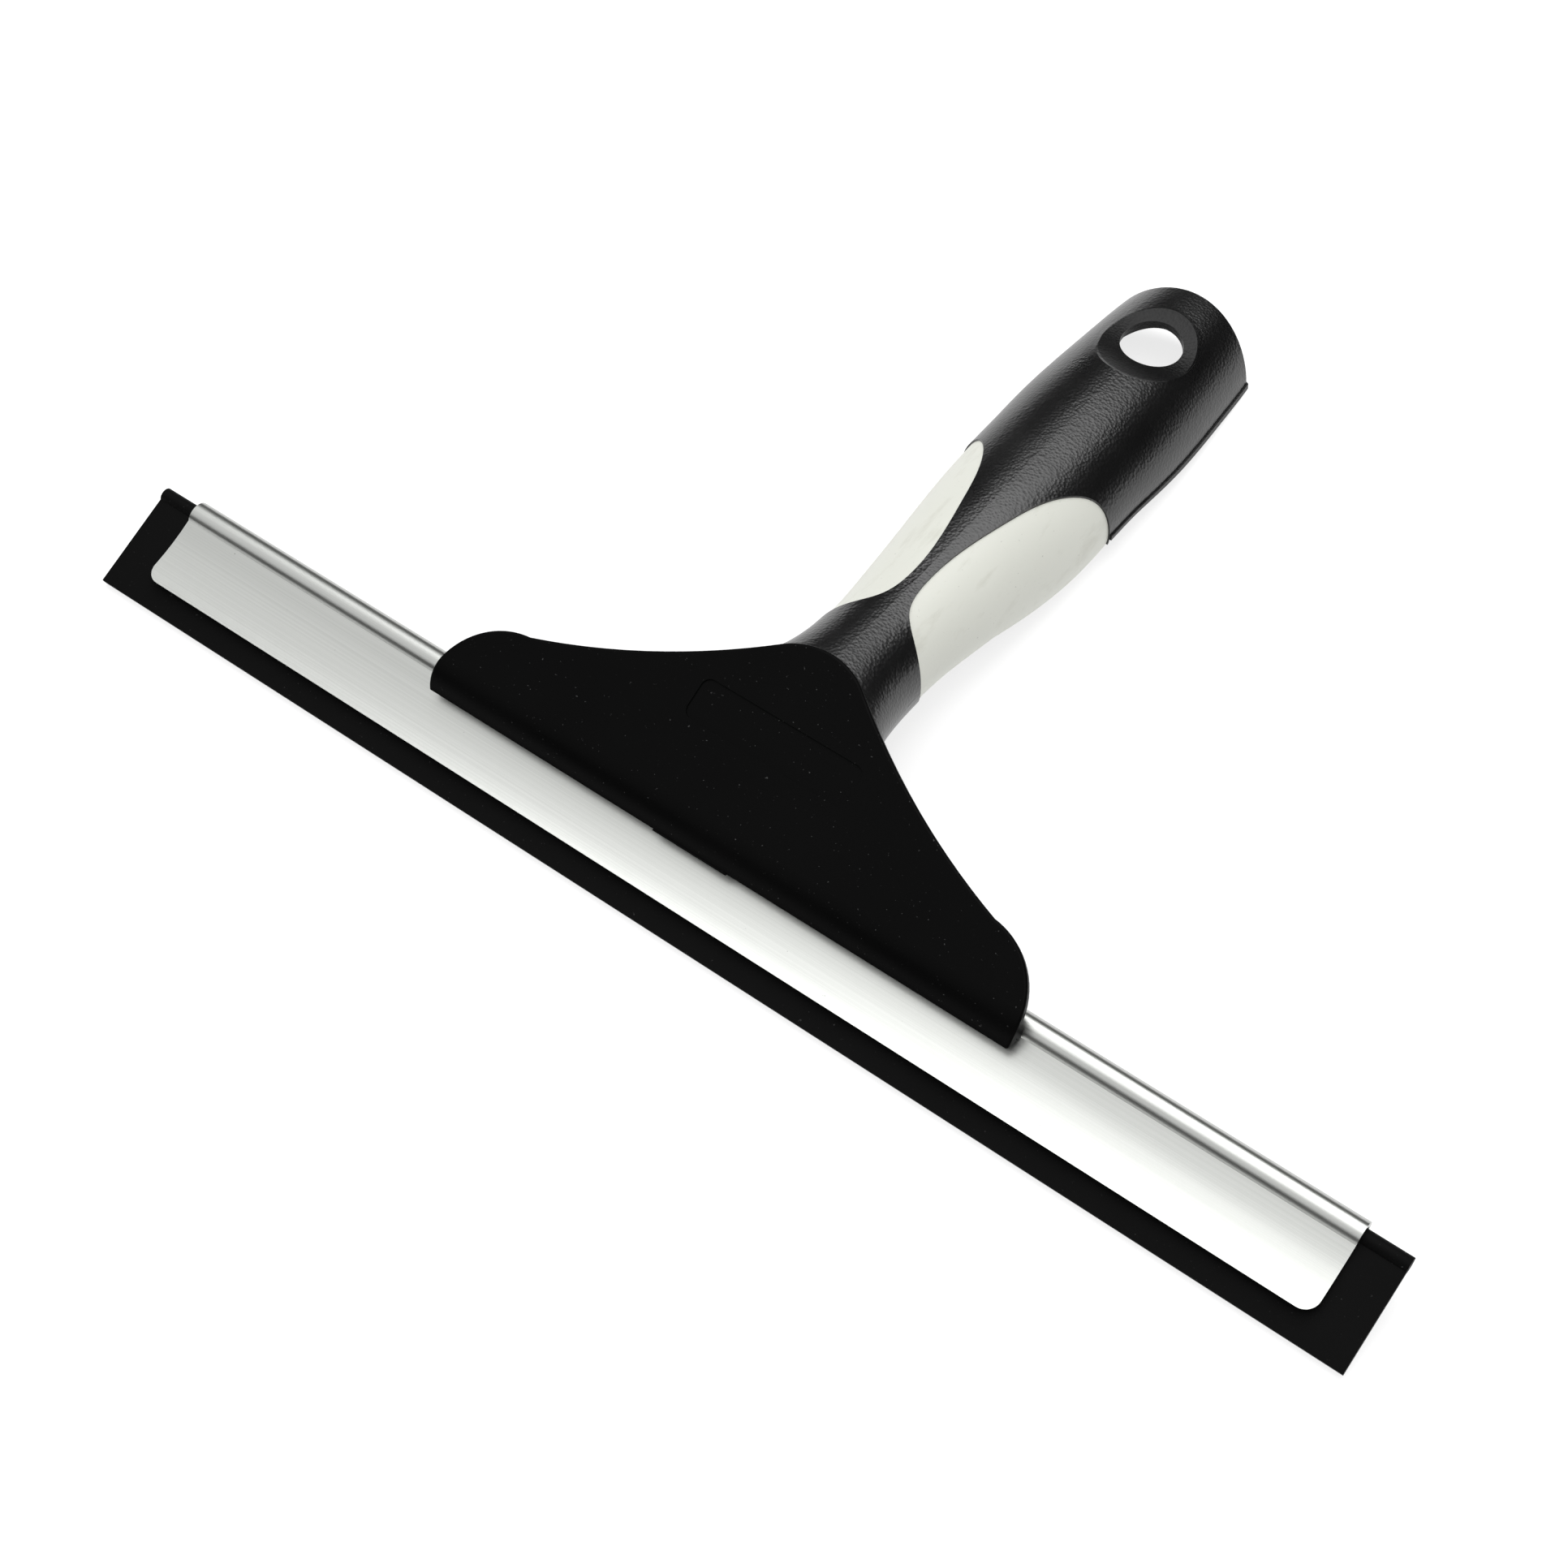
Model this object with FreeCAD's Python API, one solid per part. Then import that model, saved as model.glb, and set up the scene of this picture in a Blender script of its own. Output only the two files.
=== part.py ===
"""Window cleaning squeegee: a rubber blade in an aluminium rail, a two-part clamping head and a
hollow grip with a soft black skin and two pale side pads.

Everything is drawn lying flat in the head frame and tipped into its resting pose at the end:
  x  along the blade
  y  up the face of the blade, from its wiping edge towards the grip
  z  out of the face of the blade
The grip has a frame of its own, hinged on y = GRIP_PIVOT_Y and bent back by GRIP_BEND:
  x  across the grip, y  along it (the "station"), z  out of its front
Millimetres throughout.
"""
import FreeCAD, Part
import math
import os

Vector = FreeCAD.Vector
ORIGIN = Vector(0, 0, 0)
X_AXIS = Vector(1, 0, 0)
Z_AXIS = Vector(0, 0, 1)
FAR = 300.0                      # beyond the object on every side, for cutting blocks
MARGIN = 1.0                     # overshoot of a cutter past the face it cuts
FINE = 0.05                      # how finely the finished solids are sampled to find the floor
TOUCH = 0.02                     # what counts as lying on a face

# ---- rubber blade ----
BLADE_LENGTH = 300.0
BLADE_THICKNESS = 1.6
BEAD_RADIUS = 1.65
BEAD_CENTRE_Y = 22.5

# ---- aluminium rail ----
RAIL_LENGTH = 281.0
RAIL_WALL = 1.0
RAIL_LIP_Y = 5.45                # lower edge of the rail above the wiping edge
RAIL_FLARE = 1.25                # how far each lip flares out past the waist of its wall
RAIL_WAIST_Y = 13.0
CREASE_RISE = 0.3                # the wall stands out past its waist at the crease under the bulb
BLADE_PLAY = 0.15                # each side of the rubber at the rail's waist
BULB_RADIUS = 3.0                # outside of the tube that holds the bead
BULB_CENTRE_Y = 22.5
LIP_CORNER = 3.2                 # rounded lower corners of the rail

# ---- clamping head ----
HEAD_HALF_WIDTH = 69.7
HEAD_LOWER_Y = 16.7
WING_TOP_Y = 35.6                # where the rounded wing ends and the hollow flank starts
WING_TOP_X = 55.5
WING_BOW = 5.25                  # sagitta of the rounded wing
CROWN_Y = 62.9                   # top of the plate on the centre line
CROWN_HALF_WIDTH = 9.5
CROWN_DROP = 3.1
FLANK_HOLLOW = 2.15              # sagitta of the flank
PLATE_THICKNESS = 2.4
PLATE_FRONT_Z = 9.2              # front face of the plate just above its rounded nose
PLATE_NOSE_Y = 23.5              # where the flat front face starts
PLATE_TIP_Z = 5.0
PLATE_SLOPE = math.radians(3.5)
PLATE_EDGE_ROUND = 0.6
JAW_PLAY = 0.2                   # between the head and the rail
HOOK_LOWER_Y = 19.4
HOOK_HEEL_DROP = 0.9             # the hook lets go of the bulb this far below its centre
HOOK_HEEL_GAP = 0.2
PANEL_WIDTH = 38.0
PANEL_HEIGHT = 8.8
PANEL_CENTRE_Y = 42.5
PANEL_CORNER = 2.0
PANEL_DEPTH = 0.3
TAB_WIDTH = 17.8                 # trimmed moulding tab on the plate's lower edge
TAB_CENTRE_X = -3.7
TAB_DROP = 0.35

JAW_INSET = 4.0                  # rear jaw stands in from the plate's outline
JAW_BACK_Z = -7.0
JAW_LIP_Y = 13.5
JAW_LIP_Z = -3.6
JAW_CHIN_RISE = 1.2              # short bevel under the lip
JAW_CHIN_DEPTH = 1.6
JAW_RAMP_TOP_Y = 24.0            # the back slopes out from the lip to here
JAW_BACK_ROUND = 1.2
JAW_WALL = 2.0
JAW_TOP_Y = 52.0                 # the grip starts here
NECK_ROOT_HALF_WIDTH = 18.0      # wider top of the rear jaw, under the neck
NECK_ROOT_Y = 46.0
NECK_ROOT_INSET = 1.5
TONGUE_HALF_WIDTH = 12.0
TONGUE_HALF_DEPTH = 2.0
TONGUE_LOWER_Y = 35.0

# ---- screws ----
SCREW_RADIUS = 1.5
SCREW_LENGTH = 10.0
SCREW_HEAD_RADIUS = 2.9
SCREW_HEAD_HEIGHT = 2.0
SCREW_SEAT_Z = -4.2
SCREW_PLAY = 0.1
BOSS_PLAY = 0.2
COUNTERBORE_RADIUS = 3.3
BOSS_RADIUS = 3.2
BOSS_LOWER_Z = -1.0
DRIVE_WIDTH = 0.8
DRIVE_LENGTH = 3.4
DRIVE_DEPTH = 1.1
WING_SCREW_X = 44.0
WING_SCREW_Y = 31.5
TONGUE_SCREW_X = 7.5
TONGUE_SCREW_Y = 43.0

# ---- grip ----
GRIP_PIVOT_Y = 47.7
GRIP_BEND = math.radians(25.5)
GRIP_LENGTH = 146.0
GRIP_END_RADIUS = 38.0
GRIP_HALF_WIDTH = 19.4
GRIP_TOP = 14.2                  # crest of the barrel above the grip's axis
NECK_HALF_WIDTH = 13.15
NECK_STATION = 20.0
SKIN_THICKNESS = 2.0
CORE_WALL = 2.6
RIM_DROP = 1.5                   # open back of the grip below its axis
BELLY_START = 46.0               # between these stations the back of the grip bellies out
BELLY_MIDDLE = 67.0
BELLY_DROP = 4.1
BELLY_END_DROP = 2.9
FLANGE_START = 84.0              # from here on a thin rim of the core shows under the skin
FLANGE_HEIGHT = 1.2
FLANGE_PROUD = 0.4
PAD_RECESS = 0.4
STRIP_HALF_WIDTH = 1.9           # black strip between the pads at its narrowest
RIB_THICKNESS = 2.0
RIB_STATIONS = (30.0, 52.0, 74.0, 96.0, 114.0)
BULKHEAD_DEPTH = 5.0

# Elliptical cross-sections of the grip: station, half width, crest, height of the ellipse's centre
GRIP_SECTIONS = (
    (-4.4, 19.6, 15.2, 8.0),
    (8.0, 15.1, 14.2, 4.7),
    (NECK_STATION, NECK_HALF_WIDTH, 13.3, 2.0),
    (34.0, 13.65, 12.7, 1.1),
    (47.0, 15.3, 12.9, -0.4),
    (60.0, 17.0, 13.4, -1.6),
    (75.0, 18.4, 13.8, -1.6),
    (90.0, 18.6, 14.05, -0.7),
    (100.0, 19.0, GRIP_TOP, -1.3),
    (112.0, GRIP_HALF_WIDTH, GRIP_TOP, -2.8),
    (GRIP_LENGTH - 14.0, 18.5, 13.65, -3.6),
    (GRIP_LENGTH + 6.0, 15.6, 12.2, -3.6),
)

# Border of the right-hand pad, from the neck's back edge round to the barrel's: across, station
PAD_BORDER = (
    (16.6, 18.5),
    (10.3, 24.4),
    (3.7, 30.5),
    (STRIP_HALF_WIDTH, 38.5),
    (5.2, 62.0),
    (10.5, 77.8),
    (16.1, 83.6),
    (21.3, 82.5),
)

# ---- hanging hole ----
HOLE_RADIUS = 6.9
HOLE_FROM_END = 18.8
DISH_FROM_END = 20.0
DISH_RADIUS = 31.0               # trough cut across the grip round the hole
DISH_FLOOR = 11.3                # above the grip's axis
DISH_WEB = 1.6
HOLE_RELIEF_RADIUS = 9.0         # the core is thinned to the web around the hole
EYE_HALF_WIDTH = 10.4            # opening in the skin where the core shows
EYE_HALF_LENGTH = 12.4
EYE_PROUD = 0.15                 # the core stands out of the skin round the dish
END_RELIEF_HALF_WIDTH = 14.0
END_RELIEF_RISE = 2.8            # at the outside of the end wall
END_RELIEF_INNER_RISE = 6.0      # at its inside, clear of the sight line through the hole


def box(x0, x1, y0, y1, z0, z1):
    return Part.makeBox(x1 - x0, y1 - y0, z1 - z0, Vector(x0, y0, z0))


def cylinder(radius, x, y, z0, z1):
    return Part.makeCylinder(radius, z1 - z0, Vector(x, y, z0), Z_AXIS)


def line(a, b):
    return Part.LineSegment(a, b).toShape()


def arc(a, middle, b):
    return Part.Arc(a, middle, b).toShape()


def spline(points):
    curve = Part.BSplineCurve()
    curve.interpolate(points)
    return curve.toShape()


def bulge(a, b, sagitta):
    """Middle point of an arc from a to b that bows to the left of a-b by the sagitta (xy plane)."""
    along = (b - a).normalize()
    return (a + b) * 0.5 + Vector(-along.y, along.x, 0) * sagitta


def mirrored(shape):
    return shape.mirror(ORIGIN, X_AXIS)


def fused(shapes):
    return shapes[0].multiFuse(list(shapes[1:])).removeSplitter()


def along_x(edges, half_length):
    """Solid with the closed (y, z) section drawn by the edges, centred on x = 0."""
    face = Part.Face(Part.Wire(edges))
    face.translate(Vector(-half_length, 0, 0))
    return face.extrude(Vector(2 * half_length, 0, 0))


def yz(y, z):
    return Vector(0, y, z)


def polygon(corners):
    """Edges of the closed outline through the corners."""
    return [line(a, b) for a, b in zip(corners, corners[1:] + corners[:1])]


# ---- rubber blade and rail ----

def make_blade():
    half = BLADE_THICKNESS / 2
    strip = box(-BLADE_LENGTH / 2, BLADE_LENGTH / 2, 0, BEAD_CENTRE_Y, -half, half)
    bead = Part.makeCylinder(BEAD_RADIUS, BLADE_LENGTH,
                             Vector(-BLADE_LENGTH / 2, BEAD_CENTRE_Y, 0), X_AXIS)
    return fused([strip, bead])


def rail_wall_z(inset):
    """z of the rail's wall at its lip, its waist and the crease under the bulb."""
    waist = BLADE_THICKNESS / 2 + BLADE_PLAY + RAIL_WALL - inset
    crease = waist + CREASE_RISE
    return waist + RAIL_FLARE, waist, crease


def rail_core(inset):
    """Outer shape of the rail, drawn in from its surface by the inset."""
    lip, waist, crease = rail_wall_z(inset)
    top_y = BULB_CENTRE_Y
    front = arc(yz(RAIL_LIP_Y, lip), yz(RAIL_WAIST_Y, waist), yz(top_y, crease))
    top = line(yz(top_y, crease), yz(top_y, -crease))
    back = arc(yz(top_y, -crease), yz(RAIL_WAIST_Y, -waist), yz(RAIL_LIP_Y, -lip))
    lower = line(yz(RAIL_LIP_Y, -lip), yz(RAIL_LIP_Y, lip))
    walls = along_x([front, top, back, lower], RAIL_LENGTH / 2)
    bulb = Part.makeCylinder(BULB_RADIUS - inset, RAIL_LENGTH,
                             Vector(-RAIL_LENGTH / 2, BULB_CENTRE_Y, 0), X_AXIS)
    return fused([walls, bulb])


def corner_cutter():
    """What a rounded lower corner takes off the right-hand end of the rail."""
    end = RAIL_LENGTH / 2
    block = box(end - LIP_CORNER, end + MARGIN, RAIL_LIP_Y - MARGIN, RAIL_LIP_Y + LIP_CORNER, -FAR, FAR)
    keep = cylinder(LIP_CORNER, end - LIP_CORNER, RAIL_LIP_Y + LIP_CORNER, -FAR, FAR)
    return block.cut(keep)


def make_rail():
    rail = rail_core(0).cut(rail_core(RAIL_WALL))
    cutter = corner_cutter()
    return rail.cut(cutter).cut(mirrored(cutter))


# ---- clamping head ----

def fan_outline(inset):
    """Prism with the outline of the head, drawn in by the inset, closed below by a straight edge."""
    half = HEAD_HALF_WIDTH - inset
    low = Vector(half, HEAD_LOWER_Y, 0)
    wing = Vector(WING_TOP_X, WING_TOP_Y - inset, 0)
    crown = Vector(CROWN_HALF_WIDTH, CROWN_Y - CROWN_DROP - inset, 0)
    edges = [
        arc(low, bulge(low, wing, -WING_BOW), wing),
        arc(wing, bulge(wing, crown, FLANK_HOLLOW), crown),
    ]
    left = [mirrored(edge) for edge in edges]
    top = arc(crown, Vector(0, CROWN_Y - inset, 0), Vector(-crown.x, crown.y, 0))
    base = line(Vector(-low.x, low.y, 0), low)
    wire = Part.Wire(Part.__sortEdges__(edges + [top] + left + [base]))
    prism = Part.Face(wire).extrude(Vector(0, 0, 2 * FAR))
    prism.translate(Vector(0, 0, -FAR))
    return prism


def plate_z(y):
    """Front face of the plate, above its nose."""
    return PLATE_FRONT_Z + (y - PLATE_NOSE_Y) * math.tan(PLATE_SLOPE)


def nose_centre_and_radius():
    """Circle through the plate's tip that runs smoothly into its sloping front face."""
    normal = Vector(0, math.sin(PLATE_SLOPE), -math.cos(PLATE_SLOPE))
    start = yz(PLATE_NOSE_Y, PLATE_FRONT_Z)
    chord = yz(HEAD_LOWER_Y, PLATE_TIP_Z) - start
    radius = chord.dot(chord) / (2 * chord.dot(normal))
    return start + normal * radius, radius


def plate_profile(depth):
    """Corners of the plate's skin at a depth below its front face: tip, middle of nose, nose, crown."""
    centre, radius = nose_centre_and_radius()
    out_tip = (yz(HEAD_LOWER_Y, PLATE_TIP_Z) - centre).normalize()
    out_nose = (yz(PLATE_NOSE_Y, PLATE_FRONT_Z) - centre).normalize()
    out_mid = (out_tip + out_nose).normalize()
    inner = radius - depth
    top_y = CROWN_Y + PLATE_THICKNESS
    top = yz(top_y, plate_z(top_y) - depth / math.cos(PLATE_SLOPE))
    return centre + out_tip * inner, centre + out_mid * inner, centre + out_nose * inner, top


def plate_slab():
    tip, mid, nose, top = plate_profile(0)
    in_tip, in_mid, in_nose, in_top = plate_profile(PLATE_THICKNESS)
    edges = [arc(tip, mid, nose), line(nose, top), line(top, in_top),
             line(in_top, in_nose), arc(in_nose, in_mid, in_tip), line(in_tip, tip)]
    return along_x(edges, FAR)


def under_plate():
    """Everything behind the plate's inner face."""
    tip, mid, nose, top = plate_profile(PLATE_THICKNESS)
    low = yz(tip.y, -FAR)
    edges = [arc(tip, mid, nose), line(nose, top), line(top, yz(top.y, -FAR)),
             line(yz(top.y, -FAR), low), line(low, tip)]
    return along_x(edges, FAR)


def screw_places():
    wings = [(side * WING_SCREW_X, WING_SCREW_Y) for side in (-1, 1)]
    tongue = [(side * TONGUE_SCREW_X, TONGUE_SCREW_Y) for side in (-1, 1)]
    return wings, tongue


def rounded_panel():
    """Cutter for the shallow blank panel, laid on the sloping front face."""
    w, h, r = PANEL_WIDTH / 2, PANEL_HEIGHT / 2, PANEL_CORNER
    blank = box(-w, w, -h, h, -PANEL_DEPTH, PANEL_DEPTH)
    corners = [edge for edge in blank.Edges if abs(edge.Curve.Direction.z) > 0.9]
    panel = blank.makeFillet(r, corners)
    panel.rotate(ORIGIN, X_AXIS, math.degrees(PLATE_SLOPE))
    panel.translate(yz(PANEL_CENTRE_Y, plate_z(PANEL_CENTRE_Y)))
    return panel


def hook():
    """Rib under the plate that reaches behind the front of the bulb, into the crease."""
    crease = rail_wall_z(0)[2] + JAW_PLAY
    reach = BULB_RADIUS + JAW_PLAY
    toe_y = BULB_CENTRE_Y - math.sqrt(reach ** 2 - crease ** 2)
    heel_z = reach + HOOK_HEEL_GAP
    heel_y = BULB_CENTRE_Y - HOOK_HEEL_DROP
    deep = PLATE_FRONT_Z
    corners = [yz(HOOK_LOWER_Y, deep), yz(HOOK_LOWER_Y, crease), yz(toe_y, crease),
               yz(heel_y, heel_z), yz(heel_y, deep)]
    return along_x(polygon(corners), FAR)


def make_plate():
    outline = fan_outline(0)
    plate = plate_slab().common(outline)
    rim = [edge for edge in plate.Edges if is_front_rim(edge)]
    plate = plate.makeFillet(PLATE_EDGE_ROUND, rim)
    inside = under_plate().common(outline)
    extras = [hook().common(inside)]
    wings, tongue = screw_places()
    for x, y in wings:
        extras.append(cylinder(BOSS_RADIUS, x, y, BOSS_LOWER_Z, PLATE_FRONT_Z).common(inside))
    for x, y in tongue:
        extras.append(cylinder(BOSS_RADIUS, x, y, TONGUE_HALF_DEPTH, PLATE_FRONT_Z).common(inside))
    tip = plate_profile(0)[0]
    in_tip = plate_profile(PLATE_THICKNESS)[0]
    drop = Vector(0, -TAB_DROP, 0)
    corners = [tip, tip + drop, in_tip + drop, in_tip]
    tab = along_x(polygon(corners), TAB_WIDTH / 2)
    tab.translate(Vector(TAB_CENTRE_X, 0, 0))
    extras.append(tab)
    plate = fused([plate] + extras)
    plate = plate.cut(rounded_panel())
    for x, y in wings + tongue:
        plate = plate.cut(cylinder(SCREW_RADIUS + SCREW_PLAY, x, y, -FAR, SCREW_SEAT_Z + SCREW_LENGTH))
    return plate


def middle_of(edge):
    return edge.valueAt((edge.FirstParameter + edge.LastParameter) / 2)


def is_front_rim(edge):
    """True on the edges where the plate's front face meets its side, but not where it meets its nose."""
    middle = middle_of(edge)
    return abs(middle.z - plate_z(middle.y)) < TOUCH and middle.y > PLATE_NOSE_Y + TOUCH


def is_back_rim(edge):
    """True round the outline of the rear jaw's flat back, but not along its top or its ramp."""
    middle = middle_of(edge)
    return abs(middle.z - JAW_BACK_Z) < TOUCH and JAW_RAMP_TOP_Y + TOUCH < middle.y < JAW_TOP_Y - TOUCH


def rail_clearance():
    """Space for the rail and for sliding it through the head."""
    reach = BULB_RADIUS + JAW_PLAY
    crease = rail_wall_z(0)[2] + JAW_PLAY
    bulb = Part.makeCylinder(reach, 2 * FAR, Vector(-FAR, BULB_CENTRE_Y, 0), X_AXIS)
    slot = box(-FAR, FAR, 0, BULB_CENTRE_Y, -crease, crease)
    return fused([bulb, slot])


def make_rear_jaw():
    wings, tongue = screw_places()
    corners = [yz(JAW_LIP_Y, JAW_LIP_Z), yz(JAW_LIP_Y + JAW_CHIN_RISE, JAW_LIP_Z - JAW_CHIN_DEPTH),
               yz(JAW_RAMP_TOP_Y, JAW_BACK_Z), yz(JAW_TOP_Y, JAW_BACK_Z),
               yz(JAW_TOP_Y, FAR), yz(PLATE_NOSE_Y, FAR),
               yz(PLATE_NOSE_Y, 0), yz(JAW_LIP_Y, 0)]
    block = along_x(polygon(corners), HEAD_HALF_WIDTH)
    outline = fan_outline(JAW_INSET)
    foot = box(-HEAD_HALF_WIDTH + JAW_INSET, HEAD_HALF_WIDTH - JAW_INSET,
               JAW_LIP_Y - MARGIN, HEAD_LOWER_Y, -FAR, FAR)
    root = fan_outline(NECK_ROOT_INSET).common(
        box(-NECK_ROOT_HALF_WIDTH, NECK_ROOT_HALF_WIDTH, NECK_ROOT_Y, JAW_TOP_Y, -FAR, FAR))
    jaw = block.common(fused([outline, foot, root])).common(under_plate_or_below())
    jaw = jaw.makeFillet(JAW_BACK_ROUND, [edge for edge in jaw.Edges if is_back_rim(edge)])
    hollow = fan_outline(JAW_INSET + JAW_WALL).common(
        box(-FAR, FAR, BULB_CENTRE_Y + BULB_RADIUS + JAW_PLAY + JAW_WALL,
            JAW_TOP_Y - JAW_WALL, JAW_BACK_Z + JAW_WALL, FAR))
    keep = [box(-TONGUE_HALF_WIDTH - JAW_WALL, TONGUE_HALF_WIDTH + JAW_WALL, 0, FAR, -FAR, FAR)]
    keep += [cylinder(BOSS_RADIUS + JAW_WALL, x, y, -FAR, FAR) for x, y in wings]
    for solid in keep:
        hollow = hollow.cut(solid)
    jaw = jaw.cut(hollow).cut(rail_clearance())
    jaw = jaw.cut(box(-TONGUE_HALF_WIDTH, TONGUE_HALF_WIDTH, TONGUE_LOWER_Y, JAW_TOP_Y + MARGIN,
                      -TONGUE_HALF_DEPTH, FAR))
    for x, y in wings + tongue:
        jaw = jaw.cut(cylinder(COUNTERBORE_RADIUS, x, y, -FAR, SCREW_SEAT_Z))
        jaw = jaw.cut(cylinder(SCREW_RADIUS + SCREW_PLAY, x, y, -FAR, FAR))
    for x, y in wings:
        jaw = jaw.cut(cylinder(BOSS_RADIUS + BOSS_PLAY, x, y, BOSS_LOWER_Z, FAR))
    return jaw


def under_plate_or_below():
    """Behind the plate's inner face, and free below its tip."""
    below = box(-FAR, FAR, -FAR, plate_profile(PLATE_THICKNESS)[0].y, -FAR, 0)
    return fused([under_plate(), below])


def make_screws():
    screws = []
    wings, tongue = screw_places()
    head_z = SCREW_SEAT_Z - SCREW_HEAD_HEIGHT
    for x, y in wings + tongue:
        head = cylinder(SCREW_HEAD_RADIUS, x, y, head_z, SCREW_SEAT_Z)
        shank = cylinder(SCREW_RADIUS, x, y, SCREW_SEAT_Z, SCREW_SEAT_Z + SCREW_LENGTH)
        screw = fused([head, shank])
        half, slot = DRIVE_LENGTH / 2, DRIVE_WIDTH / 2
        screw = screw.cut(box(x - half, x + half, y - slot, y + slot, head_z, head_z + DRIVE_DEPTH))
        screw = screw.cut(box(x - slot, x + slot, y - half, y + half, head_z, head_z + DRIVE_DEPTH))
        screws.append(screw)
    return Part.makeCompound(screws)


# ---- grip, in its own frame ----

def to_head(shape):
    placed = shape.copy()
    placed.rotate(ORIGIN, X_AXIS, -math.degrees(GRIP_BEND))
    placed.translate(yz(GRIP_PIVOT_Y, 0))
    return placed


def grip_loft(inset):
    """Barrel of the grip through its elliptical sections, drawn in by the inset."""
    wires = []
    for station, half_width, crest, height in GRIP_SECTIONS:
        centre = Vector(0, station, height)
        side = centre + Vector(half_width - inset, 0, 0)
        top = centre + Vector(0, 0, crest - height - inset)
        wires.append(Part.Wire(ellipse_edge(centre, side, top)))
    return Part.makeLoft(wires, True)


def ellipse_edge(centre, side, top):
    """Ellipse through the side and the top; the longer half-axis has to come first."""
    if (side - centre).Length >= (top - centre).Length:
        return Part.Ellipse(side, top, centre).toShape()
    return Part.Ellipse(top, centre * 2 - side, centre).toShape()


def end_prism(inset):
    """Everything on the grip's side of its rounded end."""
    radius = GRIP_END_RADIUS - inset
    middle = GRIP_LENGTH - GRIP_END_RADIUS
    a, b = Vector(radius, middle, -FAR), Vector(-radius, middle, -FAR)
    low_a, low_b = Vector(radius, -FAR, -FAR), Vector(-radius, -FAR, -FAR)
    edges = [line(low_b, low_a), line(low_a, a), arc(a, Vector(0, middle + radius, -FAR), b), line(b, low_b)]
    return Part.Face(Part.Wire(edges)).extrude(Vector(0, 0, 2 * FAR))


def behind_back():
    """Everything behind the open back of the grip."""
    start, middle = yz(BELLY_START, -RIM_DROP), yz(BELLY_MIDDLE, -BELLY_DROP)
    low_end, high_end = yz(FLANGE_START, -BELLY_END_DROP), yz(FLANGE_START, -RIM_DROP)
    near, far = yz(-FAR, -RIM_DROP), yz(FAR, -RIM_DROP)
    deep_far, deep_near = yz(FAR, -FAR), yz(-FAR, -FAR)
    edges = [line(near, start), arc(start, middle, low_end), line(low_end, high_end),
             line(high_end, far), line(far, deep_far), line(deep_far, deep_near), line(deep_near, near)]
    return along_x(edges, FAR)


def grip_body(inset):
    return grip_loft(inset).common(end_prism(inset)).cut(behind_back())


def pad_window():
    """Prism through the right-hand side of the grip with the outline of a pad."""
    points = [Vector(across, station, 0) for across, station in PAD_BORDER]
    inner = spline(points)
    first, last = points[0], points[-1]
    far_last, far_first = Vector(FAR, last.y, 0), Vector(FAR, first.y, 0)
    wire = Part.Wire([inner, line(last, far_last), line(far_last, far_first), line(far_first, first)])
    prism = Part.Face(wire).extrude(Vector(0, 0, 2 * FAR))
    prism.translate(Vector(0, 0, -FAR))
    return prism


def eye_prism():
    centre = Vector(0, GRIP_LENGTH - DISH_FROM_END, 0)
    edge = ellipse_edge(centre, centre + Vector(EYE_HALF_WIDTH, 0, 0), centre + Vector(0, EYE_HALF_LENGTH, 0))
    return Part.Face(Part.Wire(edge)).extrude(Vector(0, 0, FAR))


def dish(extra):
    """Cylinder lying across the grip that cuts the dish round the hole."""
    start = Vector(-FAR, GRIP_LENGTH - DISH_FROM_END, DISH_FLOOR + DISH_RADIUS)
    return Part.makeCylinder(DISH_RADIUS + extra, 2 * FAR, start, X_AXIS)


def hole():
    """The hanging hole and the pocket behind it that thins the core to the web."""
    station = GRIP_LENGTH - HOLE_FROM_END
    pocket = cylinder(HOLE_RELIEF_RADIUS, 0, station, -FAR, DISH_FLOOR).cut(dish(DISH_WEB))
    return cylinder(HOLE_RADIUS, 0, station, -FAR, FAR), pocket


def head_domain():
    """Head frame: what belongs to the plate and the rear jaw, so the grip keeps out of it."""
    outline = fan_outline(0)
    in_front = outline.cut(under_plate())
    below = box(-FAR, FAR, -FAR, JAW_TOP_Y, -FAR, FAR)
    return in_front, below


def out_of_head(shape):
    in_front, below = head_domain()
    return shape.cut(in_front).cut(below)


def flange_zone():
    return box(-FAR, FAR, FLANGE_START, FAR, -RIM_DROP, -RIM_DROP + FLANGE_HEIGHT)


def end_relief():
    """The back edge of the end wall is cut away in the middle, sloping up towards its inside."""
    inner_y = GRIP_LENGTH - SKIN_THICKNESS - CORE_WALL
    outer_z, inner_z = -RIM_DROP + END_RELIEF_RISE, -RIM_DROP + END_RELIEF_INNER_RISE
    corners = [yz(GRIP_LENGTH - HOLE_FROM_END, -FAR), yz(GRIP_LENGTH - HOLE_FROM_END, inner_z),
               yz(inner_y, inner_z), yz(GRIP_LENGTH, outer_z), yz(FAR, outer_z), yz(FAR, -FAR)]
    return along_x(polygon(corners), END_RELIEF_HALF_WIDTH)


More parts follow.
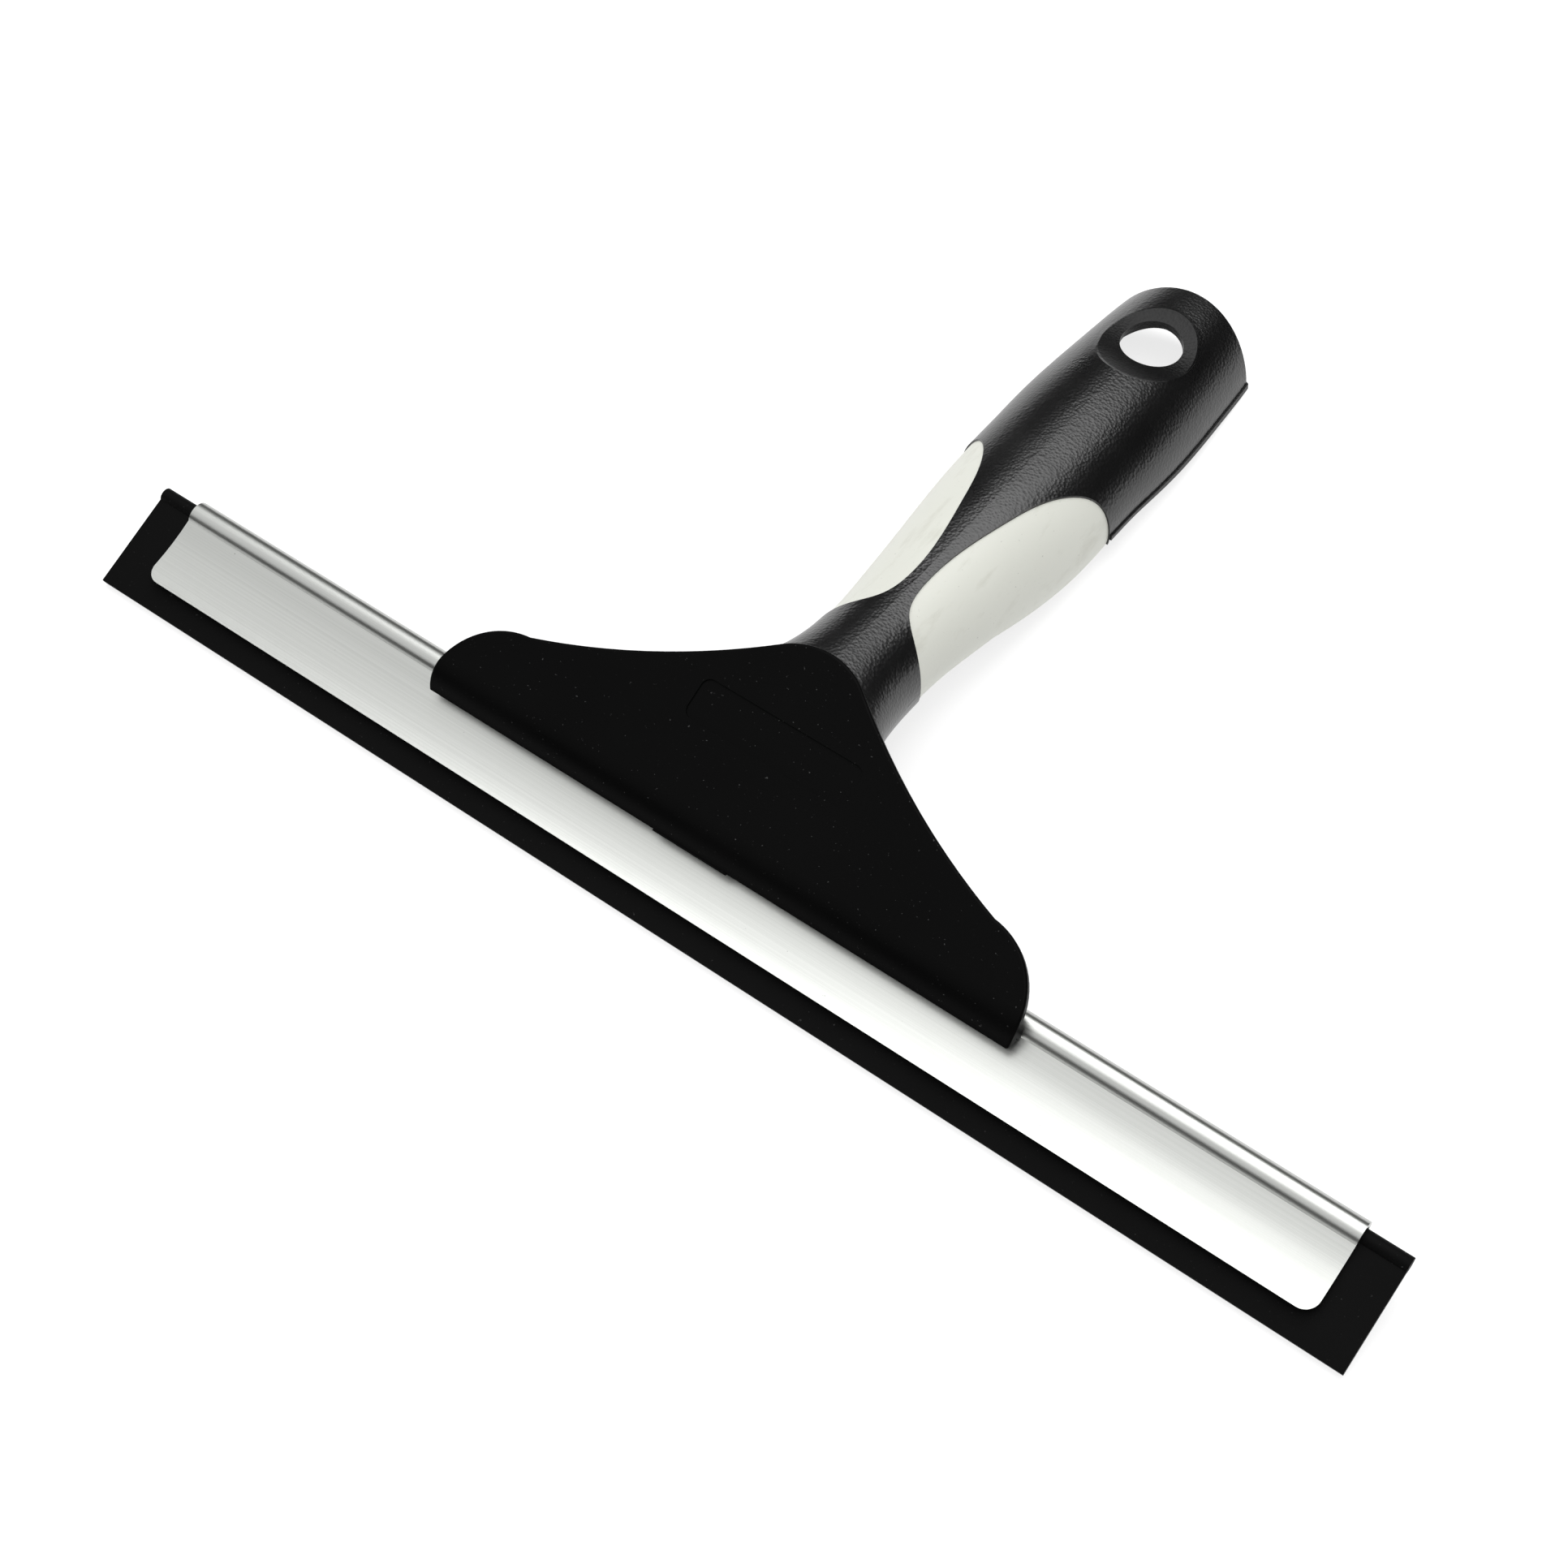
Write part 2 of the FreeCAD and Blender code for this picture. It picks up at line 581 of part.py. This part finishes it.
def make_core(middle, cavity):
    hollow = cavity.cut(dish(DISH_WEB))
    hollow = hollow.cut(box(-RIB_THICKNESS / 2, RIB_THICKNESS / 2, 0, max(RIB_STATIONS), -FAR, FAR))
    for station in RIB_STATIONS:
        hollow = hollow.cut(box(-FAR, FAR, station - RIB_THICKNESS, station, -FAR, FAR))
    eye = grip_body(-EYE_PROUD).common(eye_prism())
    flange = grip_loft(-FLANGE_PROUD).common(end_prism(-FLANGE_PROUD)).common(flange_zone())
    bore, pocket = hole()
    core = fused([middle, eye, flange]).cut(hollow).cut(dish(0)).cut(bore).cut(pocket).cut(end_relief())
    bulkhead = to_head(middle).common(
        box(-FAR, FAR, JAW_TOP_Y, JAW_TOP_Y + BULKHEAD_DEPTH, -FAR, FAR))
    tongue = box(-TONGUE_HALF_WIDTH, TONGUE_HALF_WIDTH, TONGUE_LOWER_Y, JAW_TOP_Y,
                 -TONGUE_HALF_DEPTH, TONGUE_HALF_DEPTH)
    core = fused([out_of_head(to_head(core)), out_of_head(bulkhead), tongue])
    for x, y in screw_places()[1]:
        core = core.cut(cylinder(SCREW_RADIUS + SCREW_PLAY, x, y, -FAR, FAR))
    return core


def make_skin(outer, middle, window):
    skin = outer.cut(middle).cut(eye_prism()).cut(dish(0)).cut(flange_zone())
    skin = skin.cut(window).cut(mirrored(window))
    return out_of_head(to_head(skin.cut(end_relief())))


def make_pads(middle, window):
    right = grip_body(PAD_RECESS).common(window).cut(middle)
    return to_head(mirrored(right)), to_head(right)


# ---- assembly ----

def resting_tilt():
    """The squeegee lies on the rail's rear lip and the rim at the end of the grip."""
    corner_x = END_RELIEF_HALF_WIDTH
    radius = GRIP_END_RADIUS + FLANGE_PROUD
    station = GRIP_LENGTH - GRIP_END_RADIUS + math.sqrt(radius ** 2 - corner_x ** 2)
    y = GRIP_PIVOT_Y + station * math.cos(GRIP_BEND) - RIM_DROP * math.sin(GRIP_BEND)
    z = -station * math.sin(GRIP_BEND) - RIM_DROP * math.cos(GRIP_BEND)
    return math.atan2(-rail_wall_z(0)[0] - z, y - RAIL_LIP_Y)


def build():
    outer, middle = grip_body(0), grip_body(SKIN_THICKNESS)
    cavity = grip_body(SKIN_THICKNESS + CORE_WALL)
    window = pad_window()
    pad_left, pad_right = make_pads(middle, window)
    return {
        "rubber_blade": make_blade(),
        "blade_channel": make_rail(),
        "front_plate": make_plate(),
        "rear_jaw": make_rear_jaw(),
        "handle_core": make_core(middle, cavity),
        "grip_skin": make_skin(outer, middle, window),
        "grip_pad_left": pad_left,
        "grip_pad_right": pad_right,
        "clamp_screws": make_screws(),
    }


def main():
    os.makedirs("parts", exist_ok=True)
    nodes = build()
    tilt = math.degrees(resting_tilt())
    for shape in nodes.values():
        shape.rotate(ORIGIN, X_AXIS, tilt)
    corners = Part.makeCompound(list(nodes.values())).tessellate(FINE)[0]
    low_y, high_y = min(c.y for c in corners), max(c.y for c in corners)
    shift = Vector(0, -(low_y + high_y) / 2, -min(c.z for c in corners))
    print("tilt", tilt, "shift", shift)
    for name, shape in nodes.items():
        shape.translate(shift)
        print(name, len(shape.Solids), "valid", shape.isValid(), "volume", round(shape.Volume, 1))
        shape.exportStep("parts/" + name + ".step")


main()
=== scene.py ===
import bpy
import math
from mathutils import Matrix, Vector


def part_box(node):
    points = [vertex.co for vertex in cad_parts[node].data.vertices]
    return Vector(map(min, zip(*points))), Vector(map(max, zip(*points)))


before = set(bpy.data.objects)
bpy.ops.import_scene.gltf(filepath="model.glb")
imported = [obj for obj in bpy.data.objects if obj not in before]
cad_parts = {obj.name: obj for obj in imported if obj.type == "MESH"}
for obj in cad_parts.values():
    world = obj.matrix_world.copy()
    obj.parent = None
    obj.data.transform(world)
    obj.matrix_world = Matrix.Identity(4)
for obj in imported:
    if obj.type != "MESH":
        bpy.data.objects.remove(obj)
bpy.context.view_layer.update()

MM = 0.001
scene = bpy.context.scene

# The head frame (u along the blade, v up its face, n out of it) placed in the row frame. It starts at
# the middle of the rubber's lower edge.
TILT = math.radians(19.310)          # how far the head is tipped back in the resting pose
HALF_RUBBER = 0.8 * MM               # half the rubber's thickness
rubber_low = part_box("rubber_blade")[0]
HEAD_Y = rubber_low[1] + HALF_RUBBER * math.sin(TILT)
HEAD_Z = rubber_low[2] + HALF_RUBBER * math.cos(TILT)
HEAD = Matrix.Translation((0, HEAD_Y, HEAD_Z)) @ Matrix.Rotation(TILT, 4, "X")

# ---------------------------------------------------------------- camera
# Fitted to the photo: its place in millimetres and its axes, both in the head frame.
CAMERA_PLACE = (188.24, -31.86, 497.36)
CAMERA_RIGHT = (0.80282, 0.55354, -0.22152)
CAMERA_UP = (-0.48528, 0.82251, 0.29659)
CAMERA_BACK = (0.34638, -0.13061, 0.92896)
SENSOR_WIDTH = 36.0                  # millimetres
FOCAL_LENGTH = 63.354037             # millimetres

camera_data = bpy.data.cameras.new("camera")
camera_data.sensor_width = SENSOR_WIDTH
camera_data.lens = FOCAL_LENGTH
camera_data.clip_start = 0.01
camera_data.clip_end = 20.0
camera = bpy.data.objects.new("camera", camera_data)
scene.collection.objects.link(camera)
place = HEAD @ (Vector(CAMERA_PLACE) * MM)
axes = [HEAD.to_3x3() @ Vector(axis) for axis in (CAMERA_RIGHT, CAMERA_UP, CAMERA_BACK)]
camera.matrix_world = Matrix.Translation(place) @ Matrix(axes).transposed().to_4x4()
scene.camera = camera

# ---------------------------------------------------------------- colours and surface values
RUBBER_BLACK = ((0.0022, 0.0022, 0.0022), (0.0040, 0.0040, 0.0040))
HEAD_BLACK = ((0.0022, 0.0022, 0.0022), (0.0032, 0.0032, 0.0032))
GRIP_BLACK = ((0.0025, 0.0025, 0.002575), (0.0035, 0.0035, 0.003625))
ALUMINIUM = ((0.49, 0.50, 0.48), (0.55, 0.56, 0.54))
ALUMINIUM_SPECK = (0.12, 0.12, 0.12)
ZINC = ((0.50, 0.50, 0.49), (0.62, 0.62, 0.60))
PAD_CREAM = ((0.78, 0.79, 0.72), (0.83, 0.84, 0.77))
PAD_SMUDGE = (0.62, 0.62, 0.54)
GREY_DUST = (0.08, 0.08, 0.08)
GRIP_DUST = (0.07, 0.07, 0.07)
PAD_DUST = (0.25, 0.25, 0.22)

MIDDLE = (0.3, 0.7)                  # where most of a noise's values lie
DUST_PEAKS = (0.71, 0.76)            # the few highest values, which show as specks
FINE_RELIEF = 0.1 * MM
COARSE_RELIEF = 0.2 * MM
GRAIN_SCALE = 1500.0                 # dust specks and leather cells to the metre
EXTRUSION_LINES = (6.0, 4200.0, 4200.0)        # noise cells to the metre, drawn out along the channel
EXTRUSION_STREAKS = (3.0, 300.0, 300.0)
SMUDGES = (260.0, 60.0, 120.0)
SMUDGE_TURN = (0, 0, 0.5)            # radians


# ---------------------------------------------------------------- node material helpers
class Nodes:
    """A small wrapper that keeps the material code short."""

    def __init__(self, name):
        self.material = bpy.data.materials.new(name)
        self.material.use_nodes = True
        self.tree = self.material.node_tree
        self.tree.nodes.clear()
        self.shader = self.add("ShaderNodeBsdfPrincipled")
        output = self.add("ShaderNodeOutputMaterial")
        self.tree.links.new(self.shader.outputs[0], output.inputs[0])
        self.coordinates = self.add("ShaderNodeTexCoord").outputs["Object"]

    def add(self, kind, **settings):
        node = self.tree.nodes.new(kind)
        for key, value in settings.items():
            setattr(node, key, value)
        return node

    def link(self, source, target):
        self.tree.links.new(source, target)

    def stretched(self, scale, rotation=(0, 0, 0)):
        mapping = self.add("ShaderNodeMapping")
        mapping.inputs["Scale"].default_value = scale
        mapping.inputs["Rotation"].default_value = rotation
        self.link(self.coordinates, mapping.inputs["Vector"])
        return mapping.outputs[0]

    def noise(self, scale, detail=3.0, rough=0.5, vector=None):
        node = self.add("ShaderNodeTexNoise")
        node.inputs["Scale"].default_value = scale
        node.inputs["Detail"].default_value = detail
        node.inputs["Roughness"].default_value = rough
        self.link(vector or self.coordinates, node.inputs["Vector"])
        return node.outputs["Fac"]

    def cells(self, scale):
        node = self.add("ShaderNodeTexVoronoi")
        node.inputs["Scale"].default_value = scale
        self.link(self.coordinates, node.inputs["Vector"])
        return node.outputs["Distance"]

    def ramp(self, source, span, result):
        """Turns the span (low, high) of the source into the result (low, high)."""
        node = self.add("ShaderNodeMapRange")
        sockets = ("From Min", "From Max", "To Min", "To Max")
        for socket, value in zip(sockets, (*span, *result)):
            node.inputs[socket].default_value = value
        self.link(source, node.inputs["Value"])
        return node.outputs[0]

    def maths(self, operation, a, b):
        node = self.add("ShaderNodeMath", operation=operation)
        for socket, value in zip(node.inputs, (a, b)):
            if isinstance(value, (int, float)):
                socket.default_value = value
            else:
                self.link(value, socket)
        return node.outputs[0]

    def mix(self, factor, a, b):
        node = self.add("ShaderNodeMix", data_type="RGBA")
        self.link(factor, node.inputs["Factor"])
        for socket, value in ((node.inputs["A"], a), (node.inputs["B"], b)):
            if isinstance(value, tuple):
                socket.default_value = (*value, 1.0)
            else:
                self.link(value, socket)
        return node.outputs["Result"]

    def dusty(self, base, amount, speck):
        """Sparse pale specks over a base colour."""
        specks = self.noise(GRAIN_SCALE, detail=2.0, rough=0.6)
        return self.mix(self.ramp(specks, DUST_PEAKS, (0.0, amount)), base, speck)

    def bump(self, height, strength, distance):
        node = self.add("ShaderNodeBump")
        node.inputs["Strength"].default_value = strength
        node.inputs["Distance"].default_value = distance
        self.link(height, node.inputs["Height"])
        return node.outputs[0]

    def set(self, **values):
        for key, value in values.items():
            socket = self.shader.inputs[key.replace("_", " ")]
            if isinstance(value, (int, float, tuple)):
                socket.default_value = value
            else:
                self.link(value, socket)


# ---------------------------------------------------------------- materials
def black_rubber():
    m = Nodes("rubber")
    clouds = m.noise(scale=60.0, detail=4.0, rough=0.6)
    base = m.mix(clouds, *RUBBER_BLACK)
    m.set(Base_Color=m.dusty(base, amount=0.5, speck=GREY_DUST),
          Roughness=m.ramp(clouds, MIDDLE, (0.52, 0.66)),
          Specular_IOR_Level=0.06,
          Normal=m.bump(m.noise(scale=900.0), strength=0.12, distance=COARSE_RELIEF))
    return m.material


def anodised():
    """Satin aluminium with the lengthwise lines of an extrusion and a few dark specks."""
    m = Nodes("aluminium")
    lines = m.noise(scale=1.0, detail=4.0, rough=0.7, vector=m.stretched(EXTRUSION_LINES))
    streaks = m.noise(scale=1.0, detail=2.0, vector=m.stretched(EXTRUSION_STREAKS))
    grain = m.noise(scale=2600.0, detail=2.0)
    metal = m.mix(m.ramp(lines, (0.35, 0.65), (0.0, 1.0)), *ALUMINIUM)
    specks = m.ramp(m.noise(scale=700.0, detail=2.0, rough=0.6), (0.76, 0.80), (0.0, 0.7))
    line_rough = m.ramp(lines, MIDDLE, (0.30, 0.36))
    streak_rough = m.ramp(streaks, MIDDLE, (-0.02, 0.02))
    height = m.maths("ADD", m.maths("MULTIPLY", lines, 0.8), m.maths("MULTIPLY", grain, 0.2))
    m.set(Base_Color=m.mix(specks, metal, ALUMINIUM_SPECK),
          Metallic=1.0,
          Roughness=m.maths("ADD", line_rough, streak_rough),
          Normal=m.bump(height, strength=0.10, distance=FINE_RELIEF))
    return m.material


def smooth_black():
    m = Nodes("head_plastic")
    clouds = m.noise(scale=40.0)
    base = m.mix(clouds, *HEAD_BLACK)
    m.set(Base_Color=m.dusty(base, amount=0.8, speck=GREY_DUST),
          Roughness=m.ramp(clouds, MIDDLE, (0.34, 0.40)),
          Specular_IOR_Level=0.03,
          Normal=m.bump(m.noise(scale=1500.0, detail=2.0), strength=0.04, distance=FINE_RELIEF))
    return m.material


def grained_black(name, shine, rough):
    """Black plastic with a leather-like grain."""
    m = Nodes(name)
    clouds = m.noise(scale=50.0)
    base = m.mix(clouds, *GRIP_BLACK)
    m.set(Base_Color=m.dusty(base, amount=0.2, speck=GRIP_DUST),
          Roughness=m.ramp(clouds, MIDDLE, rough),
          Specular_IOR_Level=shine,
          Normal=m.bump(m.cells(GRAIN_SCALE), strength=0.25, distance=COARSE_RELIEF))
    return m.material


def pale_pad():
    m = Nodes("grip_pad")
    clouds = m.noise(scale=30.0, detail=4.0)
    smudge = m.noise(scale=1.0, detail=4.0, rough=0.65, vector=m.stretched(SMUDGES, SMUDGE_TURN))
    cream = m.mix(clouds, *PAD_CREAM)
    base = m.mix(m.ramp(smudge, (0.56, 0.74), (0.0, 0.5)), cream, PAD_SMUDGE)
    m.set(Base_Color=m.dusty(base, amount=0.35, speck=PAD_DUST),
          Roughness=m.ramp(clouds, MIDDLE, (0.42, 0.50)),
          Specular_IOR_Level=0.4,
          Normal=m.bump(m.noise(scale=1200.0), strength=0.06, distance=COARSE_RELIEF))
    return m.material


def steel():
    m = Nodes("screw_steel")
    clouds = m.noise(scale=900.0)
    m.set(Base_Color=m.mix(clouds, *ZINC),
          Metallic=1.0,
          Roughness=m.ramp(clouds, MIDDLE, (0.25, 0.40)),
          Normal=m.bump(clouds, strength=0.08, distance=FINE_RELIEF))
    return m.material


LOOKS = {
    "rubber_blade": black_rubber(),
    "blade_channel": anodised(),
    "front_plate": smooth_black(),
    "handle_core": grained_black("core_plastic", shine=0.25, rough=(0.36, 0.42)),
    "grip_skin": grained_black("grip_skin", shine=0.70, rough=(0.26, 0.32)),
    "grip_pad_left": pale_pad(),
    "clamp_screws": steel(),
}
LOOKS["rear_jaw"] = LOOKS["front_plate"]
LOOKS["grip_pad_right"] = LOOKS["grip_pad_left"]

for name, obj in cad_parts.items():
    obj.data.materials.clear()
    obj.data.materials.append(LOOKS[name])

# ---------------------------------------------------------------- floor
# A softly glowing white table, as used for cut-out product pictures.
FLOOR_HALF = 30.0                    # metres
TABLE_WHITE = (0.40, 0.40, 0.40, 1.0)
TABLE_GLOW = 0.78

corners = [(x * FLOOR_HALF, y * FLOOR_HALF, 0) for x, y in ((-1, -1), (1, -1), (1, 1), (-1, 1))]
floor_mesh = bpy.data.meshes.new("floor")
floor_mesh.from_pydata(corners, [], [(0, 1, 2, 3)])
floor = bpy.data.objects.new("floor", floor_mesh)
scene.collection.objects.link(floor)
table = Nodes("light_table")
table.set(Base_Color=TABLE_WHITE, Roughness=0.9, Specular_IOR_Level=0.0,
          Emission_Color=(1.0, 1.0, 1.0, 1.0), Emission_Strength=TABLE_GLOW)
floor_mesh.materials.append(table.material)

# ---------------------------------------------------------------- surroundings
# Brightness by the upward part of the direction: the table's far edge glows, the studio walls are dark
# and the ceiling between the boxes is dim.
SURROUNDINGS = ((0.0, 0.85), (0.03, 0.80), (0.045, 0.004), (0.34, 0.004), (0.54, 0.02), (0.74, 0.035))

world = bpy.data.worlds.new("world")
scene.world = world
world.use_nodes = True
sky = world.node_tree
direction = sky.nodes.new("ShaderNodeTexCoord")
split = sky.nodes.new("ShaderNodeSeparateXYZ")
levels = sky.nodes.new("ShaderNodeValToRGB")
stops = levels.color_ramp.elements
while len(stops) < len(SURROUNDINGS):
    stops.new(0.5)
for stop, (height, level) in zip(stops, SURROUNDINGS):
    stop.position = height
    stop.color = (level, level, level, 1.0)
sky.links.new(direction.outputs["Generated"], split.inputs[0])
sky.links.new(split.outputs["Z"], levels.inputs[0])
sky.links.new(levels.outputs[0], sky.nodes["Background"].inputs["Color"])

# ---------------------------------------------------------------- ceiling boxes
# Each box is (name, middle, size, radiance), in metres, and faces straight down. Dim ones hang in front,
# a brighter pair overhead and the strongest behind the squeegee.
CEILING = 1.20                       # metres above the table
CEILING_BOXES = (
    ("front_right", (0.35, -1.00), (1.4, 1.4), 0.95),
    ("front_left", (-1.05, -1.00), (1.4, 1.4), 0.95),
    ("overhead_right", (0.35, -0.08), (1.4, 0.44), 2.4),
    ("overhead_left", (-1.05, -0.08), (1.4, 0.44), 1.1),
    ("back", (-0.18, 0.76), (1.05, 1.2), 3.2),
    ("back_left", (-1.25, 0.56), (0.95, 0.8), 1.1),
)


def ceiling_box(name, middle, size, radiance):
    """Rectangular lamp whose face has the given radiance."""
    data = bpy.data.lights.new(name, "AREA")
    data.shape = "RECTANGLE"
    data.size, data.size_y = size
    data.energy = radiance * math.pi * size[0] * size[1]
    lamp = bpy.data.objects.new(name, data)
    scene.collection.objects.link(lamp)
    lamp.location = (*middle, CEILING)


for box in CEILING_BOXES:
    ceiling_box(*box)

scene.view_settings.view_transform = "Standard"
